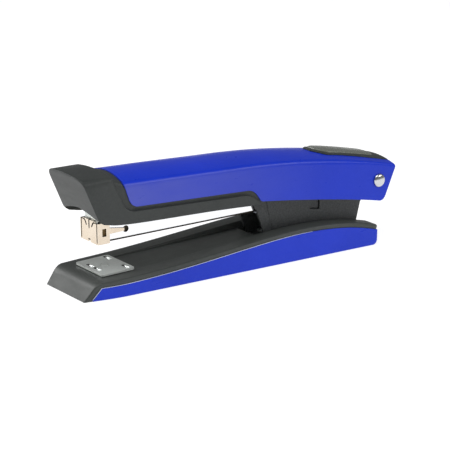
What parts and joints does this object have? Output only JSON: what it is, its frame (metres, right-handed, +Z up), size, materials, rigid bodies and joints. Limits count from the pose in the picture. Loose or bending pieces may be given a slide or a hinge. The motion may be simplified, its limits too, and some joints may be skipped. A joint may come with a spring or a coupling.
{
  "type": "desk stapler",
  "caption": "Full-strip desk stapler: wedge base with turning anvil, hinged chrome magazine with sprung pusher, and a long cover that carries the driver blade.",
  "frame": {"origin": "on the surface that the stapler rests on, under the middle of its overall length and width", "axes": "+X along the stapler from nose to tail, +Z up, Y across it"},
  "size_m": [0.197, 0.044, 0.0627],
  "materials": {
    "blue_shell": "satin moulded ABS, royal blue",
    "black_plastic": "fine moulded grain, charcoal black",
    "crinkle_black": "black crinkle powder coat",
    "rubber": "matt non-slip rubber",
    "soft_pad": "smooth soft-touch rubber",
    "bright_steel": "bright nickel-chrome plate",
    "brushed_steel": "brushed zinc-plated steel",
    "spring_steel": "oil-tempered spring steel",
    "brass": "pale brass plate, polished",
    "nylon": "natural nylon",
    "staples": "bright drawn wire, glued strip"
  },
  "bodies": {
    "base": {"base_shell": "blue_shell", "base_cover": "black_plastic", "base_foot": "rubber", "base_screws": "brushed_steel", "yoke": "crinkle_black", "yoke_rivets": "brushed_steel", "lift_spring": "spring_steel", "lift_spring_rivet": "brushed_steel", "pivot_pin": "bright_steel", "pin_cap": "bright_steel", "pin_washers": "nylon", "anvil_spring": "spring_steel"},
    "button": {"anvil_button": "black_plastic"},
    "anvil": {"anvil_plate": "brushed_steel", "anvil_post": "brushed_steel", "anvil_clip": "spring_steel"},
    "magazine": {"magazine_channel": "bright_steel", "staple_rail": "bright_steel", "rail_rivets": "brushed_steel", "front_sheath": "brass", "magazine_cap": "bright_steel", "guide_rod": "brushed_steel", "staple_strip": "staples", "pusher_spring": "spring_steel"},
    "pusher": {"pusher": "black_plastic"},
    "cover": {"cover_frame": "brushed_steel", "cover_shell": "blue_shell", "front_cover": "black_plastic", "cover_screws": "brushed_steel", "cover_spring": "spring_steel", "cover_spring_rivet": "brushed_steel", "driver_blade": "brushed_steel", "blade_rivets": "brushed_steel", "tail_bezel": "black_plastic", "tail_pad": "soft_pad"}
  },
  "joints": [
    {"name": "magazine_hinge", "type": "hinge", "parent": "base", "child": "magazine", "pos_m": [0.0865, 0, 0.0339], "axis": [0, 1, 0], "range_deg": [-4.15, 45], "stiffness_Nm_per_rad": 0.6, "springref_deg": 11.46, "deforming": ["lift_spring"]},
    {"name": "cover_hinge", "type": "hinge", "parent": "magazine", "child": "cover", "pos_m": [0.0865, 0, 0.0339], "axis": [0, 1, 0], "range_deg": [-2.8, 90], "stiffness_Nm_per_rad": 0.6, "springref_deg": 8.59, "deforming": ["cover_spring"]},
    {"name": "pusher_slide", "type": "slide", "parent": "magazine", "child": "pusher", "axis": [0.9999, 0, 0.0112], "range_m": [0, 0.046], "stiffness_N_per_m": 100, "springref_m": -0.04, "deforming": ["pusher_spring"]},
    {"name": "button_press", "type": "slide", "parent": "base", "child": "button", "axis": [-0.0355, 0, 0.9994], "range_m": [0, 0.0012], "stiffness_N_per_m": 600, "springref_m": -0.002, "deforming": ["anvil_spring"]},
    {"name": "anvil_turn", "type": "hinge", "parent": "button", "child": "anvil", "pos_m": [-0.0749, 0, 0.00952], "axis": [-0.0355, 0, 0.9994], "range_deg": [0, 180]}
  ]
}
